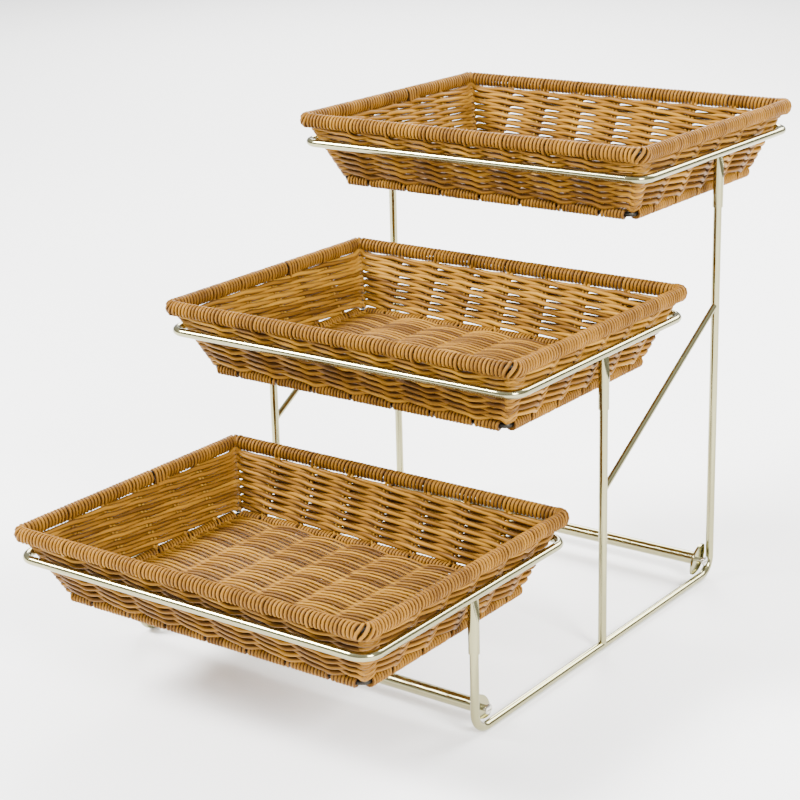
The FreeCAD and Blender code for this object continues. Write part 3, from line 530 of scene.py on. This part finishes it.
# lengths along a loop of the stakes and of the crossings between them
def bayKnots(stakes):
    knots = [stakes[0]]
    for i in range(len(stakes) - 1):
        nearer = int(i + 1 in cornerStakes) - int(i in cornerStakes)
        share = 0.5 + wallBend["cornerShift"] * nearer
        knots += [stakes[i] + share * (stakes[i + 1] - stakes[i]), stakes[i + 1]]
    return np.array(knots)


def wallGuide(tier):
    rimCentre, rimX, rimY = wireLoop(tier, "rim")
    footCentre, footX, footY = wireLoop(tier, "foot")
    drop = rimCentre.z - footCentre.z
    corner = basket["wallCorner"]
    steps = np.arange(cornerStakes[-1] * wallBend["steps"] + 1) / wallBend["steps"]
    levels = []
    for below in (basket["slitDepth"], drop - basket["footCover"]):
        share = below / drop
        halfX = rimX + (footX - rimX) * share
        halfY = rimY + (footY - rimY) * share
        loop = walkLoop(halfX, halfY, corner)
        knots = bayKnots(stakeLengths(loop, halfX, halfY, corner))
        at, facing = alongLoop(loop, np.interp(2 * steps, np.arange(len(knots)), knots))
        height = np.full((len(at), 1), rimCentre.z - below)
        levels.append((np.hstack((at + (rimCentre.x, rimCentre.y), height)), facing))
    top, facing = levels[0]
    low = levels[1][0]
    fall = low - top
    fall = fall / np.linalg.norm(fall, axis=1, keepdims=True)
    outward = np.hstack((facing, np.zeros((len(facing), 1))))
    outward = outward - fall * np.sum(outward * fall, axis=1, keepdims=True)
    outward = outward / np.linalg.norm(outward, axis=1, keepdims=True)
    atCorner = bump(steps, cornerStakes, wallBend["cornerReach"])
    nearCorner = bump(steps, cornerStakes, wallBend["tightReach"])
    tight = 1 - (1 - wallBend["cornerTight"]) * nearCorner
    top = top - fall * (wallBend["cornerRise"] * atCorner)[:, None]
    low = low + fall * (wallBend["cornerDrop"] * atCorner)[:, None]
    onShort = 1 - np.abs(facing[:, 1])
    slack = 1 + (wallBend["shortSlack"] - 1) * onShort
    line = {"at": top, "low": low, "outward": outward, "beside": fall, "stake": steps,
            "corner": atCorner, "tight": tight, "slack": slack}
    return guide(tier + "_wall_guide", [line])


# wrapped rim and foot: a close coil round the wire, oval at the rim, where it takes in the tops of the stakes

rimWrap = {"Half width": 0.0047, "Half height": 0.0058, "Sink": 0.0024, "Lean": 0.38,
           "Strand radius": 0.00172, "Facets": 8, "Drift": 0.0008, "Seed": 3}
footWrap = {"Half width": 0.0042, "Half height": 0.0042, "Sink": 0.0, "Lean": 0.0,
            "Strand radius": 0.00158, "Facets": 8, "Drift": 0.0008, "Seed": 5}
winding = {
    "steps": 12,                 # points in one turn
    "rimPitch": 0.0041,
    "cornerPitch": 0.0036,       # on the centre line, so the turns fan out on the outside of a corner
    "cornerReach": 0.011,
    "cornerSwell": 0.0006,
    "cornerLean": 0.0025,        # by which the tops of the turns run ahead at a corner
    "tieStake": 2,               # stake where a few turns reach down to the first course, left side
    "tieShift": 0.005,
    "tieTurns": 3,
    "tiePull": 0.0070,
    "tieGap": 0.0045,
    "stakePull": 0.0020,         # one turn of the rim reaches down at every stake
    "stakeGap": 0.0012,
    "footPitch": 0.0036,
    "footGap": 0.0060,           # extra room where a stake enters the foot
    "footBare": -0.002,          # wire left bare beyond the ends of the foot coils
    "driftFineness": 20.0,
    "driftPerTurn": 0.8,
    "tonePerTurn": 0.21,         # a length of one tone is about five turns
    "toneLow": 0.35,
    "toneSpan": 0.35,
}


def makeWrapTree():
    tree, given = newShapeTree("wireWrap", rimWrap)
    line = addNode(tree, "GeometryNodeMeshToCurve", {0: given["Guide"]})
    turn = attribute(tree, "turn")
    angle = calc(tree, "MULTIPLY", turn, 2 * math.pi)
    sine = calc(tree, "SINE", angle)
    below = calc(tree, "MAXIMUM", calc(tree, "MULTIPLY", sine, -1.0), 0.0)
    pull = calc(tree, "MULTIPLY", attribute(tree, "pull"), below)
    reach = calc(tree, "MULTIPLY", calc(tree, "COSINE", angle), given["Half width"])
    reach = calc(tree, "SUBTRACT", reach, calc(tree, "MULTIPLY", pull, given["Lean"]))
    across = scaled(tree, attribute(tree, "outward", "FLOAT_VECTOR"), reach)
    halfHeight = calc(tree, "ADD", given["Half height"], attribute(tree, "swell"))
    sunk = calc(tree, "ADD", given["Sink"], pull)
    rise = calc(tree, "SUBTRACT", calc(tree, "MULTIPLY", sine, halfHeight), sunk)
    lift = addNode(tree, "ShaderNodeCombineXYZ", {2: rise}).outputs[0]
    middle = addNode(tree, "GeometryNodeInputPosition").outputs[0]
    driftNumber = calc(tree, "MULTIPLY", turn, winding["driftPerTurn"])
    wander = drift(tree, middle, driftNumber, given, winding["driftFineness"])
    place = summed(tree, middle, across, lift, wander)
    coil = addNode(tree, "GeometryNodeSetPosition", {"Geometry": line.outputs[0], "Position": place})
    length = calc(tree, "FLOOR", calc(tree, "MULTIPLY", turn, winding["tonePerTurn"]))
    tone = randomTone(tree, length, given)
    tone = calc(tree, "MULTIPLY_ADD", tone, winding["toneSpan"], winding["toneLow"])
    sweepStrands(tree, coil.outputs[0], given, tone)
    return tree


# number of turns wound by each place on a line, a whole number at its end
def windTurns(lengths, pitches):
    turns = np.diff(lengths) / ((pitches[1:] + pitches[:-1]) / 2)
    turns = np.concatenate(([0.0], np.cumsum(turns)))
    return turns * round(turns[-1]) / turns[-1]


def rimGuide(tier):
    centre, halfX, halfY = wireLoop(tier, "rim")
    loop = walkLoop(halfX, halfY, basket["rimCorner"])
    around = loop[2][-1]
    stakesAt = stakeLengths(loop, halfX, halfY, basket["rimCorner"])
    corners = stakesAt[cornerStakes]
    tie = stakesAt[winding["tieStake"]] + winding["tieShift"]
    fine = np.linspace(0, around, loopDetail["wind"])
    atCorner = bump(fine, corners, winding["cornerReach"], around)
    pitches = winding["rimPitch"] + (winding["cornerPitch"] - winding["rimPitch"]) * atCorner
    tieEnd = tie + winding["tieTurns"] * winding["rimPitch"]
    pitches = pitches + winding["tieGap"] * bump(fine, [tieEnd], winding["rimPitch"])
    plain = np.delete(stakesAt, cornerStakes)
    pitches = pitches + winding["stakeGap"] * bump(fine, plain + winding["rimPitch"], winding["rimPitch"])
    turns = windTurns(fine, pitches)
    turn = np.arange(round(turns[-1]) * winding["steps"]) / winding["steps"]
    lengths = np.interp(turn, turns, fine)
    nearCorner = bump(lengths, corners, winding["cornerReach"], around)
    lean = winding["cornerLean"] * nearCorner * np.sin(2 * np.pi * turn)
    at, facing = alongLoop(loop, (lengths + lean) % around)
    at = np.hstack((at + (centre.x, centre.y), np.full((len(at), 1), centre.z)))
    outward = np.hstack((facing, np.zeros((len(facing), 1))))
    firstTied = math.floor(np.interp(tie, fine, turns))
    fromTie = np.floor(turn) - firstTied
    atStake = np.isin(np.floor(turn), np.floor(np.interp(plain, fine, turns)))
    tied = (fromTie >= 0) & (fromTie < winding["tieTurns"])
    pull = np.where(tied, winding["tiePull"], winding["stakePull"] * atStake)
    swell = winding["cornerSwell"] * nearCorner
    beside = np.cross((0.0, 0.0, 1.0), outward)
    line = {"at": at, "outward": outward, "beside": beside, "turn": turn, "pull": pull, "swell": swell}
    return guide(tier + "_rim_guide", [line], closed=True)


def footGuide(tier):
    centre, halfX, halfY = wireLoop(tier, "foot")
    endX = halfX - basket["footCorner"] - winding["footBare"]
    endY = halfY - basket["footCorner"] - winding["footBare"]
    sides = (
        ((-endX, -halfY), (endX, -halfY), basket["longStakes"]),
        ((halfX, -endY), (halfX, endY), basket["shortStakes"]),
        ((endX, halfY), (-endX, halfY), basket["longStakes"]),
        ((-halfX, endY), (-halfX, -endY), basket["shortStakes"]),
    )
    lines = []
    for start, end, stakesAt in sides:
        start = np.array(start)
        run = np.array(end) - start
        length = np.linalg.norm(run)
        fine = np.linspace(0, length, loopDetail["windSide"])
        atStake = bump(fine, np.array(stakesAt) + length / 2, winding["footPitch"])
        turns = windTurns(fine, winding["footPitch"] + winding["footGap"] * atStake)
        turn = np.arange(round(turns[-1]) * winding["steps"] + 1) / winding["steps"]
        at = start + run * (np.interp(turn, turns, fine) / length)[:, None] + (centre.x, centre.y)
        at = np.hstack((at, np.full((len(at), 1), centre.z)))
        outward = np.tile((run[1] / length, -run[0] / length, 0.0), (len(at), 1))
        flat = np.zeros(len(at))
        # half a turn on, so both ends are tucked in on the inside
        beside = np.tile((run[0] / length, run[1] / length, 0.0), (len(at), 1))
        lines.append({"at": at, "outward": outward, "beside": beside, "turn": turn + 0.5,
                      "pull": flat, "swell": flat})
    return guide(tier + "_foot_guide", lines)


# stakes of the wall and of the floor, in pairs

wallStakes = {"Strand radius": 0.0017, "Facets": 8, "Drift": 0.0006, "Seed": 7}
floorStakes = {"Strand radius": 0.0014, "Facets": 6, "Drift": 0.0004, "Seed": 13}
staking = {
    "spread": 0.0021,            # half the distance between the two of a pair
    "steps": 10,                 # down a wall, and across half a floor
    "driftFineness": 30.0,
}


def makeStakeTree():
    tree, given = newShapeTree("stakePairs", wallStakes)
    line = addNode(tree, "GeometryNodeMeshToCurve", {0: given["Guide"]})
    middle = addNode(tree, "GeometryNodeInputPosition").outputs[0]
    number = attribute(tree, "number")
    wander = drift(tree, middle, number, given, staking["driftFineness"])
    place = vecCalc(tree, "ADD", middle, wander)
    bent = addNode(tree, "GeometryNodeSetPosition", {"Geometry": line.outputs[0], "Position": place})
    sweepStrands(tree, bent.outputs[0], given, randomTone(tree, number, given))
    return tree


def wallStakeGuide(tier):
    rimCentre, rimX, rimY = wireLoop(tier, "rim")
    footCentre, footX, footY = wireLoop(tier, "foot")
    lines = []
    walls = ((basket["longStakes"], Vector((1, 0, 0)), Vector((0, 1, 0)), rimY, footY),
             (basket["shortStakes"], Vector((0, 1, 0)), Vector((1, 0, 0)), rimX, footX))
    for places, along, outward, rimHalf, footHalf in walls:
        for side in (-1, 1):
            for place in places:
                for twin in (-1, 1):
                    shift = along * (place + twin * staking["spread"])
                    top = rimCentre + shift + outward * (side * rimHalf)
                    low = footCentre + shift + outward * (side * footHalf)
                    at = [top.lerp(low, i / staking["steps"]) for i in range(staking["steps"] + 1)]
                    lines.append({"at": at, "number": [len(lines)] * len(at)})
    return guide(tier + "_stake_guide", lines)


# woven floor: single strands over and under the floor stakes

floorWeave = {"Bulge": 0.0029, "Strand radius": 0.0015, "Facets": 6, "Drift": 0.0006, "Seed": 11}
flooring = {
    "rowPitch": 0.0031,
    "steps": 4,                  # points from one stake to the next
    "inset": 0.0045,             # from the foot wire's centre line to the ends of the floor strands
    "driftFineness": 30.0,
}


def makeFloorTree():
    tree, given = newShapeTree("floorWeave", floorWeave)
    line = addNode(tree, "GeometryNodeMeshToCurve", {0: given["Guide"]})
    middle = addNode(tree, "GeometryNodeInputPosition").outputs[0]
    row = attribute(tree, "row")
    phase = calc(tree, "ADD", attribute(tree, "stake"), row)
    angle = calc(tree, "MULTIPLY", phase, math.pi)
    wave = calc(tree, "MULTIPLY", calc(tree, "COSINE", angle), given["Bulge"])
    lift = addNode(tree, "ShaderNodeCombineXYZ", {2: wave}).outputs[0]
    place = summed(tree, middle, lift, drift(tree, middle, row, given, flooring["driftFineness"]))
    woven = addNode(tree, "GeometryNodeSetPosition", {"Geometry": line.outputs[0], "Position": place})
    sweepStrands(tree, woven.outputs[0], given, randomTone(tree, row, given))
    return tree


def floorGuide(tier):
    centre, halfX, halfY = wireLoop(tier, "foot")
    pitch = basket["longStakes"][1] - basket["longStakes"][0]
    endX = halfX - flooring["inset"]
    endY = halfY - flooring["inset"]
    rows = round(2 * endY / flooring["rowPitch"])
    reach = np.linspace(-endX, endX, round(2 * endX / pitch * flooring["steps"]) + 1)
    lines = []
    for row in range(rows):
        y = centre.y - endY + 2 * endY * (row + 0.5) / rows
        at = [(centre.x + x, y, centre.z) for x in reach]
        beside = np.tile((0.0, 1.0, 0.0), (len(at), 1))
        lines.append({"at": at, "beside": beside, "stake": reach / pitch, "row": [row] * len(at)})
    return guide(tier + "_floor_guide", lines)


def floorStakeGuide(tier):
    centre, halfX, halfY = wireLoop(tier, "foot")
    endY = halfY - flooring["inset"]
    steps = staking["steps"]
    lines = []
    for place in basket["longStakes"]:
        for twin in (-1, 1):
            x = centre.x + place + twin * staking["spread"]
            at = [(x, centre.y + endY * i / steps, centre.z) for i in range(-steps, steps + 1)]
            lines.append({"at": at, "number": [len(lines)] * len(at)})
    return guide(tier + "_floor_stake_guide", lines)


wallTree = makeWallTree()
wrapTree = makeWrapTree()
stakeTree = makeStakeTree()
floorTree = makeFloorTree()

for tierNumber, tier in enumerate(tiers):
    body = tier + "_basket"
    jobs = (
        ("wall_weave", wallGuide, wallTree, wall, weaveFinish),
        ("rim_wrap", rimGuide, wrapTree, rimWrap, wrapFinish),
        ("foot_wrap", footGuide, wrapTree, footWrap, wrapFinish),
        ("wall_stakes", wallStakeGuide, stakeTree, wallStakes, weaveFinish),
        ("floor_weave", floorGuide, floorTree, floorWeave, weaveFinish),
        ("floor_stakes", floorStakeGuide, stakeTree, floorStakes, weaveFinish),
    )
    for part, makeGuide, tree, sizes, finish in jobs:
        ownSizes = dict(sizes, Seed=sizes["Seed"] + 100 * tierNumber)
        growPiece("%s_%s" % (tier, part), makeGuide(tier), tree, ownSizes, finish, body,
                  "%s_%s" % (body, part))
print("baskets woven")


# plain pale studio

studio = {
    "floorTint": (0.97, 0.97, 0.965, 1.0),
    "floorSize": 40.0,
    "floorRoughness": 0.6,
    "backdrop": (0.88, 0.88, 0.88, 1.0),     # seen past the edge of the floor, as bright as the far floor
    "skyLow": (0.58, 0.58, 0.58, 1.0),       # near the horizon, for the light and the reflections
    "skyHigh": (1.0, 1.0, 1.0, 1.0),
    "skyRise": (0.10, 0.75),
    "skyPower": 1.0,
}
lights = {                       # place, target, size and power
    "keyLight": ((-1.95, -1.55, 2.4), (0.0, 0.0, 0.25), 1.0, 405.0),
    "fillLight": ((2.7, -1.2, 1.7), (0.0, 0.0, 0.25), 1.0, 245.0),
    "backLight": ((0.6, 2.3, 2.1), (0.0, 0.0, 0.2), 1.8, 210.0),
    "farLight": ((-2.4, 3.4, 2.6), (-1.8, 2.6, 0.0), 2.0, 280.0),
}


def makeStudio():
    size = studio["floorSize"] / 2
    mesh = bpy.data.meshes.new("studioFloor")
    corners = [(-size, -size, 0), (size, -size, 0), (size, size, 0), (-size, size, 0)]
    mesh.from_pydata(corners, [], [(0, 1, 2, 3)])
    floor = bpy.data.objects.new("studioFloor", mesh)
    bpy.context.scene.collection.objects.link(floor)
    finish, tree, shader = newFinish("paleFloor")
    shader.inputs["Base Color"].default_value = studio["floorTint"]
    shader.inputs["Roughness"].default_value = studio["floorRoughness"]
    mesh.materials.append(finish)
    world = bpy.data.worlds.new("studioSky")
    world.use_nodes = True
    tree = world.node_tree
    sky = tree.nodes["Background"]
    toward = addNode(tree, "ShaderNodeTexCoord").outputs["Generated"]
    height = addNode(tree, "ShaderNodeSeparateXYZ", {0: toward}).outputs[2]
    ramp = addNode(tree, "ShaderNodeValToRGB", {0: height})
    tints = (studio["skyLow"], studio["skyHigh"])
    for element, place, tint in zip(ramp.color_ramp.elements, studio["skyRise"], tints):
        element.position = place
        element.color = tint
    tree.links.new(ramp.outputs[0], sky.inputs["Color"])
    sky.inputs["Strength"].default_value = studio["skyPower"]
    backdrop = addNode(tree, "ShaderNodeBackground", {"Color": studio["backdrop"]})
    seen = addNode(tree, "ShaderNodeLightPath").outputs["Is Camera Ray"]
    both = addNode(tree, "ShaderNodeMixShader", {0: seen, 1: sky.outputs[0], 2: backdrop.outputs[0]})
    tree.links.new(both.outputs[0], tree.nodes["World Output"].inputs["Surface"])
    bpy.context.scene.world = world
    for name, (place, target, size, power) in lights.items():
        lamp = bpy.data.lights.new(name, "AREA")
        lamp.energy = power
        lamp.size = size
        holder = bpy.data.objects.new(name, lamp)
        holder.location = place
        holder.visible_camera = False
        holder.rotation_euler = (Vector(target) - Vector(place)).to_track_quat("-Z", "Y").to_euler()
        bpy.context.scene.collection.objects.link(holder)


camera = {
    "place": (1.06934, -1.48342, 0.80679),
    "right": (0.80692, 0.59013, -0.02521),
    "up": (-0.16308, 0.26360, 0.95075),
    "back": (0.56771, -0.76306, 0.30894),
    "lens": 90.018,
    "sensor": 36.0,
    "farthest": 50.0,
}


def makeCamera():
    lens = bpy.data.cameras.new("photoView")
    lens.sensor_width = camera["sensor"]
    lens.sensor_fit = "HORIZONTAL"
    lens.lens = camera["lens"]
    lens.clip_end = camera["farthest"]
    holder = bpy.data.objects.new("photoView", lens)
    turn = Matrix((camera["right"], camera["up"], camera["back"])).transposed()
    holder.matrix_world = Matrix.Translation(camera["place"]) @ turn.to_4x4()
    bpy.context.scene.collection.objects.link(holder)
    bpy.context.scene.camera = holder


makeStudio()
makeCamera()
print("studio and camera set")
